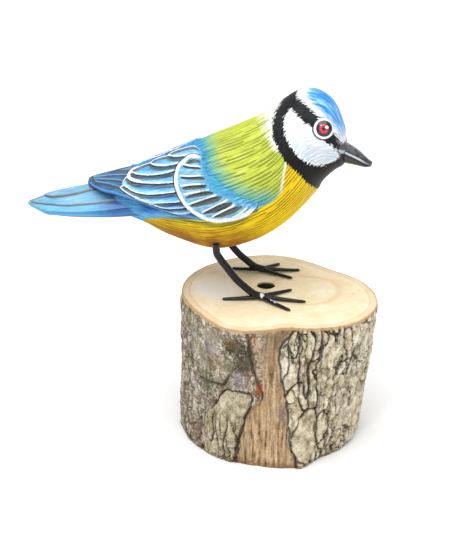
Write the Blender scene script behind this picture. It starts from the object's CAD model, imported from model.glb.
"""Studio picture of a carved, painted wooden blue tit standing on a short barked log."""
import math

import bpy
import numpy as np
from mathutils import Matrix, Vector
from mathutils.bvhtree import BVHTree


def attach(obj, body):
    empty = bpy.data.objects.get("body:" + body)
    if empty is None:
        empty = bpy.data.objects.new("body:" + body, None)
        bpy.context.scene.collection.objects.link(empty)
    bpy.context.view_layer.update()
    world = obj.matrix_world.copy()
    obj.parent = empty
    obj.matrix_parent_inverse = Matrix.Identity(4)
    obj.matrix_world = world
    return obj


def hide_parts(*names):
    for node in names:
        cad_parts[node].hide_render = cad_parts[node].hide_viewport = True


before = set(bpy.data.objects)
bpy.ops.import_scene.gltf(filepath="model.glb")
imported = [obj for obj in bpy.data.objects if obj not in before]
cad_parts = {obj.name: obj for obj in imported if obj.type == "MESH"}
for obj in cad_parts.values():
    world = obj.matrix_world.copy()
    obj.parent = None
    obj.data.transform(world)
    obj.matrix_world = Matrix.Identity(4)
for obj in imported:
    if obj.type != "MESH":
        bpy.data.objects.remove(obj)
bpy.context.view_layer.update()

# Sizes in millimetres, as in the CAD source
MM = 0.001
LOG_HEIGHT = 54.0
BIRD = np.array([0.0, 6.8, LOG_HEIGHT])      # the bird's own origin: log top, in its middle plane
HEAD_YAW = 10.0
WIRE_RADIUS = 1.3
LEG_SPREAD = 12.6
SOCKET_DEPTH = 3.0

BODY = [
    (-62, 35.0, -60, 29.5, 5), (-50, 41.6, -47.5, 25.1, 11), (-38, 47.1, -37, 20.1, 16),
    (-26.6, 53.9, -22, 15.8, 19), (-14, 59.2, -8, 19.3, 19.5), (-5.5, 63.3, 3, 26.4, 18),
    (-0.2, 67.4, 12.1, 36.0, 14.5), (5.0, 70.8, 14.7, 40.5, 13), (11, 71.5, 17.2, 43.4, 13),
    (16.6, 68.1, 19.4, 45.4, 12), (20.4, 60.9, 21.2, 46.5, 9), (21.8, 55.5, 21.9, 47.4, 5),
]
WING = [
    (0, 65.3, 44, 18.9), (-10, 61.3, 41, 20.6), (-20, 56.8, 39, 21.0), (-30, 52.0, 37.5, 20.0),
    (-40, 47.5, 36.5, 17.9), (-50, 43.8, 35.5, 14.4), (-58, 41.7, 34.8, 11.2), (-64, 40.2, 34.5, 8.4),
    (-67.5, 39.0, 34.5, 6.3),
]
WING_LOWER = [(-9, -20), (-14.3, -27), (-22, -31), (-30.4, -26), (-42.5, -9), (-55.2, 18), (-62, 33),
              (-65, 50), (-66.4, 66)]
WING_UPPER = [
    (-9, -14), (-15.8, -4), (-22, 10), (-24.4, 24), (-26.4, 45), (-30.2, 84), (-31, 90), (-66.4, 90),
]
TAIL = [
    (-48, 38.6, 5.6, 9.6, 3.8), (-58, 37.8, 6.2, 9.4, 3.2), (-66, 36.7, 5.8, 9.1, 2.7),
    (-73, 35.3, 4.8, 8.6, 2.3), (-80, 33.6, 3.1, 7.5, 1.9), (-84.6, 32.1, 1.6, 5.7, 1.6),
    (-87, 31.1, 0.8, 4.0, 1.4),
]
BILL = [(18.5, 51.1, 3.9, 4.2), (22, 50.4, 3.2, 3.8), (25.5, 49.15, 2.45, 2.9), (29, 47.5, 1.45, 1.9),
        (30.6, 47.1, 0.9, 1.0)]
EYE = dict(x=15.3, y=10.9, z=61.0, radius=3.2, depth=1.9, outward=(0.2, 1.0, 0.3))
LEG_PATH = [(-21.6, 19), (-21.4, 17.2), (-20.3, 15.3), (-17.9, 12), (-14.3, 7.3), (-10.6, 3.9)]
LEFT_LEG_BACK = 0.7
HUB_X = -5.9
FEET = {
    "left": [(-11.4, 1.8), (6.6, 7.6), (14.4, 1.5), (11.3, -6.7)],
    "right": [(-13.7, -1.2), (10.7, 8.3), (15.5, -2.0), (9.8, -9.5)],
}
LOG_OUTLINE = [
    (-180, 35.4), (-147, 32.7), (-110, 33.0), (-97, 30.0), (-83, 28.2), (-70, 29.9), (-44, 34.0),
    (-23, 35.3), (5, 34.4), (29, 32.4), (48, 30.8), (67, 32.8), (85, 36.2), (130, 37.0), (158, 36.6),
    (180, 35.4),
]
LOG_TAPER = [
    (-180, 0.2), (-147, 0.4), (-115, 3.6), (-78, -1.6), (-55, 5.0), (-30, 6.4), (-5, 4.6),
    (20, 2), (90, 0), (180, 0.2),
]
PEG_HOLE = dict(x=-4.3, y=7.4, radius=3.3, depth=14.0)

# Painted areas of head and body: outlines in the bird's side view, (x, z) in mm
BLACK_AREA = [
    (0.6, 70.2), (-0.2, 67.3), (-1.8, 65.2), (-2.7, 63.1), (-3.2, 61.1), (-3.0, 59.1), (-2.1, 56.7),
    (-1.0, 54.9), (0.3, 52.8), (1.9, 50.8), (3.8, 49.0), (6.5, 46.6), (9.0, 43.7), (10.4, 41.8),
    (12.7, 39.2), (15, 36), (32, 36), (32, 54.0), (21.9, 54.2), (20.9, 55.8), (19.6, 58.6), (18.0, 60.3),
    (16.2, 62.4), (14.1, 64.5), (12.5, 65.6), (10.8, 66.8), (8.8, 68.2), (7.2, 68.9), (4.9, 70.2),
    (4.6, 74), (0.6, 74),
]
CHEEK = [
    (3.8, 66.5), (2.8, 65.1), (1.6, 63.8), (1.3, 62.2), (1.4, 60.6), (1.9, 58.9), (2.8, 57.0),
    (4.0, 55.2), (5.5, 53.5), (7.6, 51.7), (10.1, 49.9), (12.2, 48.9), (14.7, 48.5), (16.7, 49.0),
    (18.6, 50.0), (20.9, 51.2), (20.1, 53.3), (18.8, 55.3), (17.1, 56.8), (15.4, 57.9), (14.1, 58.5),
    (12.9, 59.6), (12.1, 61.0), (11.1, 62.0), (8.7, 63.3), (6.8, 64.6), (5.2, 65.7),
]
CAP = [
    (8.0, 76), (8.2, 70.3), (10.0, 68.9), (12.1, 67.3), (14.3, 65.4), (16.7, 63.6), (18.1, 61.3),
    (19.8, 59.5), (21.0, 57.3), (24, 56.2), (26, 66), (20, 76),
]
BILL_ROOT = [(20.1, 55.3), (21.0, 55.4), (24, 54.6), (24, 50.6), (21.6, 52.2), (20.6, 53.6)]
MOUTH = [(20.6, 53.7), (21.7, 52.3), (24, 50.6)]
BREAST = [
    (2.6, 51.3), (1.8, 48.5), (1.2, 45.6), (0.6, 41.8), (-0.9, 39.4), (-3.0, 37.6), (-7.0, 36.2),
    (-12, 35.2), (-30, 34), (-75, 33), (-75, 5), (40, 5), (40, 51.3),
]

# Wing drawing: its own side view from 18 degrees above, (along x, up) in mm
WING_TILT = math.radians(18)
LONG_FEATHERS = [
    [(-28, 48.6), (-34.8, 47.0), (-37.8, 45.7), (-38.8, 44.8), (-36.7, 44.2), (-34.1, 44.2), (-31, 44.8),
     (-26, 46)],
    [(-33, 46.6), (-38.8, 44.9), (-41.8, 44.2), (-44.1, 43.1), (-44.6, 42.0), (-42.6, 41.3),
     (-38.6, 41.2), (-34.3, 42.0), (-28, 43.6), (-28, 46)],
    [(-42, 43.4), (-46.1, 42.2), (-50.1, 40.6), (-51.2, 39.4), (-49.5, 38.6), (-44.0, 38.2),
     (-38.8, 38.8), (-35.2, 39.9), (-28, 42), (-28, 45)],
    [(-49, 41.6), (-51.2, 40.5), (-52.4, 38.4), (-51.6, 37.1), (-49.1, 36.1), (-43.8, 35.7),
     (-35.1, 36.0), (-28, 37.4), (-28, 43), (-40, 41)],
    [(-52.2, 38.6), (-53.3, 36.6), (-53.5, 35.3), (-51.6, 34.4), (-48.9, 32.9), (-44.5, 32.2),
     (-40.2, 32.4), (-34.6, 33.1), (-28, 34.6), (-28, 40), (-40, 38)],
    [(-54.6, 34.9), (-53.4, 33.7), (-50.7, 32.1), (-47.5, 30.9), (-43.2, 29.3), (-38.4, 29.6),
     (-32.9, 29.9), (-27, 31.4), (-27, 36), (-50, 36)],
    [(-49.5, 31.2), (-45.4, 29.7), (-41.9, 28.7), (-38.5, 27.7), (-34.2, 27.8), (-31.1, 28.2),
     (-25, 29.6), (-25, 34), (-48, 33)],
    [(-43.8, 28.4), (-40.3, 27.3), (-36.1, 26.3), (-32.7, 25.8), (-29.3, 26.5), (-23, 28), (-23, 32),
     (-43, 31)],
]
FEATHER_TOP = 1.15            # relief of the uppermost long feather
FEATHER_STEP = 0.13
PRIMARY_LINES = [
    [(-65.4, 38.6), (-59.4, 39.9), (-53.3, 40.6), (-46, 42.0)],
    [(-64.8, 37.9), (-58.5, 38.6), (-52.6, 38.9)],
    [(-64.2, 37.3), (-58, 37.2), (-53.4, 36.9)],
    [(-63.4, 36.4), (-58.5, 35.8), (-54.6, 34.9)],
]
COVERT_RIM = [
    (-25.5, 46.0), (-27.8, 45.2), (-30.6, 44.9), (-32.4, 43.5), (-34.1, 42.1), (-34.9, 40.0),
    (-35.2, 37.9), (-35.0, 35.6), (-34.2, 33.4), (-33.2, 31.4), (-31.8, 29.3), (-30.0, 27.6),
    (-28.1, 26.4), (-25.9, 25.2), (-23.5, 24.4), (-20.7, 24.1), (-18.7, 24.3), (-15.3, 24.8),
    (-12.1, 25.9), (-9.3, 27.3), (-7.1, 29.2), (-4, 32),
]
VANE_EDGES = [                # white lower edges of the coverts
    [(-30.5, 43.9), (-27.8, 45.0)], [(-32.4, 41.8), (-29.7, 41.3), (-26.2, 41.4)],
    [(-33.0, 38.3), (-30.1, 38.15), (-25.4, 38.5)], [(-32.8, 35.2), (-29.0, 35.7), (-24.9, 35.9)],
    [(-31.5, 32.7), (-28.0, 33.3), (-23.5, 34.2)], [(-30.1, 29.7), (-26.1, 31.0), (-21.1, 32.6)],
    [(-25.6, 27.3), (-21.2, 29.4), (-17.6, 31.0)], [(-22.3, 26.1), (-18.6, 28.0), (-15.2, 29.5)],
    [(-15.8, 25.9), (-13.4, 27.1), (-11.0, 28.6)],
]
WEDGES = [                    # dark shadow painted under each of those edges
    [(-31.4, 42.3), (-30.4, 43.1), (-28.5, 43.5), (-26.0, 43.5), (-26.6, 43.1), (-28.4, 42.5),
     (-30.7, 42.0)],
    [(-32.5, 41.4), (-31.0, 41.05), (-29.2, 40.85), (-26.3, 40.95), (-26.4, 40.5), (-29.2, 40.4),
     (-32.2, 40.9)],
    [(-33.0, 37.95), (-31.0, 37.85), (-28.1, 37.95), (-25.9, 38.1), (-24.4, 37.5), (-25.1, 37.1),
     (-28.1, 37.2), (-31.0, 37.2), (-32.9, 37.5)],
    [(-31.8, 34.9), (-28.0, 35.3), (-24.6, 35.6), (-24.0, 35.2), (-24.5, 34.8), (-28.0, 34.2),
     (-32.3, 33.9)],
    [(-31.2, 31.7), (-28.0, 32.9), (-25.0, 33.5), (-22.6, 33.5), (-21.6, 33.0), (-24.3, 32.5),
     (-27.3, 31.9), (-30.9, 31.3)],
    [(-29.7, 29.4), (-26.1, 30.5), (-22.7, 31.8), (-19.6, 32.1), (-18.9, 31.6), (-21.2, 30.4),
     (-25.0, 29.5), (-28.5, 28.7)],
    [(-25.4, 27.0), (-22.4, 28.5), (-19.6, 30.0), (-16.0, 30.2), (-15.7, 29.8), (-17.9, 28.6),
     (-21.3, 27.3), (-25.1, 26.8)],
    [(-21.9, 25.9), (-18.6, 27.4), (-16.2, 28.7), (-13.1, 29.1), (-12.5, 28.7), (-14.9, 27.5),
     (-17.7, 26.3), (-21.7, 25.7)],
    [(-15.6, 25.8), (-13.0, 27.0), (-11.2, 28.1), (-9.4, 28.4), (-9.3, 28.0), (-11.9, 26.5),
     (-15.1, 25.6)],
]
WING_FRONT = [
    (-28.0, 54.5), (-27.2, 51.3), (-25.9, 46.9), (-25.1, 43.5), (-23.6, 40.6), (-21.6, 37.8),
    (-19.0, 35.1), (-15.6, 32.6), (-12.2, 30.9), (-9.0, 29.9), (-5.8, 29.6), (-2, 29),
]
BLUE_RUMP = [
    (-70, 5), (-52, 16), (-48, 22.6), (-46.1, 24.0), (-39.6, 24.5), (-32.8, 24.2), (-27, 22.9),
    (-21.2, 22.3), (-15.4, 23.3), (-11.1, 24.8), (-6.8, 28.5),
]

# Colours as the photo shows them, in sRGB
PAINT_LEVEL = 0.88             # share of each colour that is used, because the studio's light is bright
FAR = 9.0                      # distance that a mark says where it doesn't reach


def srgb(code):
    """Linear paint colour for a colour seen in the photo, given as a six-digit sRGB code."""
    parts = [int(code[i:i + 2], 16) / 255 for i in (0, 2, 4)]
    linear = [p / 12.92 if p <= 0.04045 else ((p + 0.055) / 1.055) ** 2.4 for p in parts]
    return tuple(PAINT_LEVEL * p for p in linear) + (1.0,)


# Number helpers
def curve(rows):
    """Smooth curve through rows of (key, value, ...), for arrays of keys."""
    table = np.array(rows, float)
    if table[0, 0] > table[-1, 0]:
        table = table[::-1]
    keys, values = table[:, 0], table[:, 1:]
    gap = np.diff(keys)[:, None]
    slope = np.diff(values, axis=0) / gap
    middle = (slope[:-1] * gap[1:] + slope[1:] * gap[:-1]) / (gap[1:] + gap[:-1])
    tangent = np.vstack([slope[:1], middle, slope[-1:]])

    def at(key):
        key = np.asarray(key, float)
        i = np.clip(np.searchsorted(keys, key, side="right") - 1, 0, len(keys) - 2)
        h = gap[i, 0][..., None]
        u = np.clip((key - keys[i]) / gap[i, 0], 0, 1)[..., None]
        return ((2 * u**3 - 3 * u**2 + 1) * values[i] + (u**3 - 2 * u**2 + u) * h * tangent[i]
                + (3 * u**2 - 2 * u**3) * values[i + 1] + (u**3 - u**2) * h * tangent[i + 1])
    return at


def station_curve(rows):
    """Smooth curve through rows that are keyed by their own number."""
    return curve([(i,) + row for i, row in enumerate(rows)])


def unit(vectors):
    return vectors / np.maximum(np.linalg.norm(vectors, axis=-1, keepdims=True), 1e-6)


def smooth(low, high, value):
    """0 at low, 1 at high, with a smooth step between."""
    u = np.clip((value - low) / (high - low), 0, 1)
    return u * u * (3 - 2 * u)


def hump(value, width):
    """1 at zero, falling away on both sides."""
    return np.exp(-(value / width) ** 2)


def nearest(points, line):
    """Distance from each 2-D point to a chain of segments, and the side it is on: 1 right, -1 left."""
    chain = np.array(line, float)
    best = np.full(len(points), 1e9)
    side = np.ones(len(points))
    for a, b in zip(chain[:-1], chain[1:]):
        ab = b - a
        away = points - a
        t = np.clip((away @ ab) / max(ab @ ab, 1e-9), 0, 1)
        distance = np.hypot(*(away - t[:, None] * ab).T)
        closer = distance < best
        best = np.where(closer, distance, best)
        side = np.where(closer, np.sign(ab[1] * away[:, 0] - ab[0] * away[:, 1]), side)
    return best, side


def line_distance(points, line, closed=False):
    """Distance from each 2-D point to a line, or to an outline."""
    return nearest(points, np.vstack([line, line[:1]]) if closed else line)[0]


def side_of(points, line):
    """Distance to an open line, positive on its right as it runs and negative on its left."""
    distance, side = nearest(points, line)
    return distance * side


def inside(points, outline):
    """Whether each 2-D point lies in a closed outline."""
    x, z = points.T
    result = np.zeros(len(points), bool)
    ring = np.array(outline, float)
    for (x0, z0), (x1, z1) in zip(ring, np.roll(ring, -1, axis=0)):
        crosses = (z0 > z) != (z1 > z)
        if z1 != z0:
            result ^= crosses & (x < (x1 - x0) * (z - z0) / (z1 - z0) + x0)
    return result


def signed_distance(points, outline):
    """Distance to a closed outline, negative inside it."""
    distance = line_distance(points, outline, closed=True)
    return np.where(inside(points, outline), -distance, distance)


def rounded(line, times=2, closed=True):
    """Corner-cutting that turns a coarse outline into a smooth one."""
    points = np.array(line, float)
    for _ in range(times):
        after = np.roll(points, -1, axis=0) if closed else points[1:]
        before = points if closed else points[:-1]
        mixed = np.stack([before * 0.75 + after * 0.25, before * 0.25 + after * 0.75], 1).reshape(-1, 2)
        points = mixed if closed else np.vstack([points[:1], mixed, points[-1:]])
    return points


def hashed(*cells, seed=0):
    """Fixed pseudo-random number from 0 to 1 for each cell."""
    total = np.full(np.shape(cells[0]), 17.13 + seed * 3.71)
    for k, cell in enumerate(cells):
        total = total + np.asarray(cell, float) * (12.9898 + 65.237 * k)
    value = np.sin(total) * 43758.5453
    return value - np.floor(value)


def value_noise(u, v, seed=0, wrap=None):
    """Smooth noise from 0 to 1 over a plane, repeating after wrap cells of u."""
    iu, iv = np.floor(u), np.floor(v)
    fu, fv = smooth(0, 1, u - iu), smooth(0, 1, v - iv)
    total = 0
    for du in (0, 1):
        for dv in (0, 1):
            cell = iu + du if wrap is None else np.mod(iu + du, wrap)
            weight = (fu if du else 1 - fu) * (fv if dv else 1 - fv)
            total = total + weight * hashed(cell, iv + dv, seed=seed)
    return total


def layered_noise(u, v, layers, seed=0, wrap=None):
    """Noise from 0 to 1 with each layer half as coarse and half as strong as the one before."""
    total, size = 0, 0
    for k in range(layers):
        step = 2**k
        total = total + value_noise(u * step, v * step, seed + k, wrap * step if wrap else None) / step
        size += 1 / step
    return total / size


# Mesh helpers
def grid_faces(rows, columns, wrap, start=0):
    """Quads of a grid of points stored row by row."""
    r = np.arange(rows - 1)[:, None]
    c = np.arange(columns if wrap else columns - 1)[None, :]
    ahead = (c + 1) % columns
    quads = [r * columns + c, r * columns + ahead, (r + 1) * columns + ahead, (r + 1) * columns + c]
    return np.stack(quads, -1).reshape(-1, 4) + start


def tube_faces(rows, columns):
    """Quads of a tube, and the triangles to the two centre points that close it."""
    count = rows * columns
    ring = np.arange(columns)
    ahead = (ring + 1) % columns
    last = count - columns
    first_end = np.stack([ahead, ring, np.full(columns, count)], 1)
    last_end = np.stack([last + ring, last + ahead, np.full(columns, count + 1)], 1)
    return [grid_faces(rows, columns, True), first_end, last_end]


def capped(points, columns):
    """Points of a tube with the centre of its first and of its last ring added."""
    return np.vstack([points, points[:columns].mean(0), points[-columns:].mean(0)])


def shell_faces(rows, columns):
    """Quads of a sheet, of the sheet behind it, and of the walls that join their edges."""
    count = rows * columns
    grid = np.arange(count).reshape(rows, columns)
    faces = [grid_faces(rows, columns, False), grid_faces(rows, columns, False, count)[:, ::-1]]
    for edge in (grid[::-1, 0], grid[:, -1], grid[0], grid[-1, ::-1]):
        faces.append(np.stack([edge[:-1], edge[1:], edge[1:] + count, edge[:-1] + count], 1))
    return faces


def shell_marks(marks, flow):
    """Marks for the points of both sheets of a shell: under is 0 on the first and 1 on the second."""
    both = {key: np.concatenate([values, values]) for key, values in dict(marks, flow=flow).items()}
    return dict(both, under=np.repeat([0.0, 1.0], len(flow)))


def make_piece(name, points, faces, attributes=None, uv=None, offset=BIRD):
    """Mesh object from points in mm, with float or vector attributes on its points."""
    mesh = bpy.data.meshes.new(name)
    coordinates = (np.asarray(points, float) + offset) * MM
    mesh.from_pydata(coordinates.tolist(), [], [face for group in faces for face in group.tolist()])
    mesh.update()
    for key, values in (attributes or {}).items():
        values = np.asarray(values, np.float32)
        kind, field = ("FLOAT_VECTOR", "vector") if values.ndim == 2 else ("FLOAT", "value")
        mesh.attributes.new(key, kind, "POINT").data.foreach_set(field, values.ravel())
    if uv is not None:
        layer = mesh.uv_layers.new(name="OFBake")
        corners = np.empty(len(mesh.loops), np.int32)
        mesh.loops.foreach_get("vertex_index", corners)
        layer.data.foreach_set("uv", np.asarray(uv, np.float32)[corners].ravel())
    mesh.polygons.foreach_set("use_smooth", np.ones(len(mesh.polygons), bool))
    mesh.update()
    return linked(name, mesh)


def linked(name, data):
    """A new object in the scene."""
    thing = bpy.data.objects.new(name, data)
    bpy.context.scene.collection.objects.link(thing)
    return thing


def settle(piece, slot, *nodes):
    """Put a piece on the frame in place of its CAD nodes."""
    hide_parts(*nodes)
    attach(piece, "root")
    return piece


# Node materials
class Value:
    """The output of a node, which adds, subtracts, multiplies and divides as a number does."""

    def __init__(self, paint, socket):
        self.paint = paint
        self.socket = socket

    def __add__(self, other):
        return self.paint.math("ADD", self, other)

    def __sub__(self, other):
        return self.paint.math("SUBTRACT", self, other)

    def __mul__(self, other):
        return self.paint.math("MULTIPLY", self, other)

    def __truediv__(self, other):
        return self.paint.math("DIVIDE", self, other)

    def __abs__(self):
        return self.paint.math("ABSOLUTE", self)

    def step(self, low, high):
        """0 at low, 1 at high, with a smooth step between."""
        first, last = sorted((low, high))
        inputs = {"Value": self, "From Min": first, "From Max": last,
                  "To Min": float(low > high), "To Max": float(low <= high)}
        return self.paint.node("MapRange", inputs, "Result", interpolation_type="SMOOTHSTEP")


class Paint:
    """A node material and short calls that add to it."""

    def __init__(self, name, roughness=0.5, coat=0.0, specular=0.5):
        self.material = bpy.data.materials.new(name)
        self.material.use_nodes = True
        self.tree = self.material.node_tree
        self.tree.nodes.clear()
        self.shader = self.tree.nodes.new("ShaderNodeBsdfPrincipled")
        out = self.tree.nodes.new("ShaderNodeOutputMaterial")
        self.tree.links.new(self.shader.outputs[0], out.inputs[0])
        for key, value in (("Roughness", roughness), ("Specular IOR Level", specular),
                           ("Coat Weight", coat), ("Coat Roughness", 0.25)):
            self.shader.inputs[key].default_value = value
        metres = self.node("TexCoord", {}, "Object")
        self.place = self.node("VectorMath", {0: metres, "Scale": 1 / MM}, operation="SCALE")

    def put(self, socket, value):
        """Link a node's output to a socket, or write a plain value in it."""
        if isinstance(value, Value):
            self.tree.links.new(value.socket, socket)
        else:
            socket.default_value = value

    def node(self, kind, inputs, output=0, **settings):
        """Add a node with its settings and inputs, and give one of its outputs."""
        node = self.tree.nodes.new("ShaderNode" + kind)
        for key, value in settings.items():
            setattr(node, key, value)
        for key, value in inputs.items():
            self.put(node.inputs[key], value)
        return Value(self, node.outputs[output])

    def math(self, operation, *values):
        return self.node("Math", dict(enumerate(values)), operation=operation)

    def mark(self, name, output="Fac"):
        """A number, or as output "Vector" a vector, that the piece's points carry."""
        return self.node("Attribute", {}, output, attribute_name=name)

    def parts(self, vector):
        """The first two numbers of a vector."""
        return [self.node("SeparateXYZ", {0: vector}, output) for output in (0, 1)]

    def away(self, place, centre, sizes=(1, 1)):
        """Distance between a place and a centre, both as two values, in units of two sizes."""
        du, dv = [(value - middle) / size for value, middle, size in zip(place, centre, sizes)]
        return self.math("SQRT", du * du + dv * dv)

    def noise(self, scale, detail=3.0, rough=0.55, stretch=None, vector=None):
        """Noise by place in mm, or by another vector, which can be stretched."""
        vector = vector or self.place
        if stretch:
            vector = self.node("VectorMath", {0: vector, 1: stretch}, operation="MULTIPLY")
        inputs = {"Vector": vector, "Scale": scale, "Detail": detail, "Roughness": rough}
        return self.node("TexNoise", inputs, "Fac")

    def strokes(self, along, across, detail=3, rough=0.6):
        """Noise drawn out along the flow that the piece's points carry."""
        return self.noise(1.0, detail, rough, (along, across, 1), self.mark("flow", "Vector"))

    def mix(self, factor, first, second):
        tones = [srgb(tone) if isinstance(tone, str) else tone for tone in (first, second)]
        return self.node("Mix", {0: factor, 6: tones[0], 7: tones[1]}, 2, data_type="RGBA")

    def coats(self, tone, *layers):
        """A tone with others laid over it, each as (amount, tone)."""
        for amount, coat in layers:
            tone = self.mix(amount, tone, coat)
        return tone

    def ramp(self, value, *stops):
        node = self.tree.nodes.new("ShaderNodeValToRGB")
        self.put(node.inputs[0], value)
        ramp = node.color_ramp
        while len(ramp.elements) < len(stops):
            ramp.elements.new(0.5)
        for element, (position, color) in zip(ramp.elements, stops):
            element.position = position
            element.color = srgb(color)
        return Value(self, node.outputs[0])

    def finish(self, color, bump=None, strength=0.4, distance=0.2, roughness=None):
        """The material with its colour, and bump of a distance in mm."""
        self.put(self.shader.inputs["Base Color"], color)
        if roughness is not None:
            self.put(self.shader.inputs["Roughness"], roughness)
        if bump is not None:
            inputs = {"Strength": strength, "Distance": distance * MM, "Height": bump}
            self.put(self.shader.inputs["Normal"], self.node("Bump", inputs))
        return self.material


# Body and head
BODY_LINES = 100              # carved strokes around the body
STROKE_LENGTH = 13
SIDE_SHIFT = 9.0              # what sets the paint's noise apart on the two sides
BODY_GRID = (224, 420)        # rows from tail to face, points around
LAST_STATION = len(BODY) - 1
NECK = (4.6, 7.2)             # stations between which the head's turn grows
NECK_X = 4                    # the turn's axis
body_curve = station_curve(BODY)


def turn_head(points, station):
    """The head's turn, growing from the shoulders to the nape."""
    angle = -math.radians(HEAD_YAW) * smooth(*NECK, np.broadcast_to(station, points.shape[:-1]))
    x, y, z = points[..., 0] - NECK_X, points[..., 1], points[..., 2]
    turned = [NECK_X + x * np.cos(angle) - y * np.sin(angle), x * np.sin(angle) + y * np.cos(angle), z]
    return np.stack(turned, -1)


def body_points(station, turn):
    """Points on the smooth body, before the head is turned."""
    back_x, back_z, belly_x, belly_z, half = np.moveaxis(body_curve(station), -1, 0)
    rise = np.sin(turn)
    return np.stack([(back_x + belly_x + (back_x - belly_x) * rise) / 2, half * np.cos(turn),
                     (back_z + belly_z + (back_z - belly_z) * rise) / 2], -1)


def drawn(points):
    """Where points lie in the wing drawing, as rows of two."""
    up = points[..., 2] * math.cos(WING_TILT) - np.abs(points[..., 1]) * math.sin(WING_TILT)
    return np.stack([points[..., 0], up], -1).reshape(-1, 2)


def carved_strokes(turn, along):
    """Grooves from neck to tail, broken and a little wavy, and the count of strokes at each place."""
    around = turn / (2 * np.pi)
    track = around * BODY_LINES + layered_noise(around * 8, along / 11, 2, seed=3, wrap=8) - 0.5
    number = np.mod(np.floor(track), BODY_LINES)
    across = track - np.floor(track) - 0.5
    place = along / STROKE_LENGTH + hashed(number, seed=21) * 7
    present = smooth(0.16, 0.34, value_noise(place * 2, number, seed=8))
    depth = 0.6 + 0.4 * hashed(np.floor(place), number, seed=31)
    return hump(across, 0.19) * present * depth, track


def eye_distance(plain):
    """Distance from the axis of the eye on the same side, for the part of the head around it."""
    axis = unit(np.array(EYE["outward"]))
    mirrored = np.stack([plain[:, 0], np.abs(plain[:, 1]), plain[:, 2]], 1)
    from_eye = mirrored - [EYE["x"], EYE["y"], EYE["z"]]
    off_axis = from_eye - (from_eye @ axis)[:, None] * axis
    return np.where((mirrored[:, 2] > 50) & (mirrored[:, 1] > 4), np.linalg.norm(off_axis, axis=1), FAR)


def make_body():
    rows, columns = BODY_GRID
    fine = np.linspace(0, LAST_STATION, 900)
    spine = body_points(fine, np.zeros_like(fine))
    length = np.concatenate([[0], np.cumsum(np.linalg.norm(np.diff(spine, axis=0), axis=1))])
    distances = np.linspace(0, length[-1], rows)
    turns = np.linspace(0, 2 * np.pi, columns, endpoint=False)
    station, turn = np.meshgrid(np.interp(distances, length, fine), turns, indexing="ij")
    along = np.broadcast_to(distances[:, None], BODY_GRID)
    points = body_points(station, turn)

    groove, track = carved_strokes(turn, along)
    head = smooth(5.1, 6.1, station)
    outward = unit(points - body_points(station, np.zeros_like(station)) * [1, 0, 1])
    waves = 0.10 * np.cos(2 * np.pi * track) * (1 - head)
    ends = smooth(0, 0.25, station) * smooth(LAST_STATION, LAST_STATION - 0.2, station)
    lift = (waves - groove * (0.30 * (1 - head) + 0.03 * head)) * ends
    carved = points + outward * lift[..., None]

    plain = points.reshape(-1, 3)
    side = plain[:, [0, 2]]
    flat = drawn(turn_head(points, station))
    cheek = signed_distance(side, rounded(CHEEK))
    from_back = np.abs(np.mod(turn + np.pi / 2, 2 * np.pi) - np.pi)
    across = from_back / (2 * np.pi) * BODY_LINES * 1.15
    flow = np.stack([along, across, SIDE_SHIFT * np.sign(points[..., 1])], -1)
    attributes = dict(
        black=np.maximum(signed_distance(side, rounded(BLACK_AREA)), -cheek), cheek=cheek,
        cap=signed_distance(side, rounded(CAP)), breast=signed_distance(side, rounded(BREAST, 1)),
        collar=line_distance(side, BLACK_AREA[1:12]), front=-side_of(flat, WING_FRONT),
        groove=groove.ravel(), flow=flow.reshape(-1, 3),
        rump=flat[:, 1] - np.interp(flat[:, 0], *np.array(BLUE_RUMP).T),
        eye_ring=eye_distance(plain), headness=head.ravel(), low=plain[:, 2], fore=plain[:, 0],
        root=signed_distance(side, rounded(BILL_ROOT, 1)), mouth=line_distance(side, MOUTH))
    uv = np.stack([turn / (2 * np.pi), along / length[-1]], -1).reshape(-1, 2) * 0.98 + 0.01
    attributes = {key: np.concatenate([v, v[:1], v[-1:]]) for key, v in attributes.items()}
    body = capped(turn_head(carved, station).reshape(-1, 3), columns)
    uv = np.vstack([uv, uv[:1], uv[-1:]])
    piece = make_piece("body_skin", body, tube_faces(rows, columns), attributes, uv)
    return settle(piece, "paint_body", "torso", "head")


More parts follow.
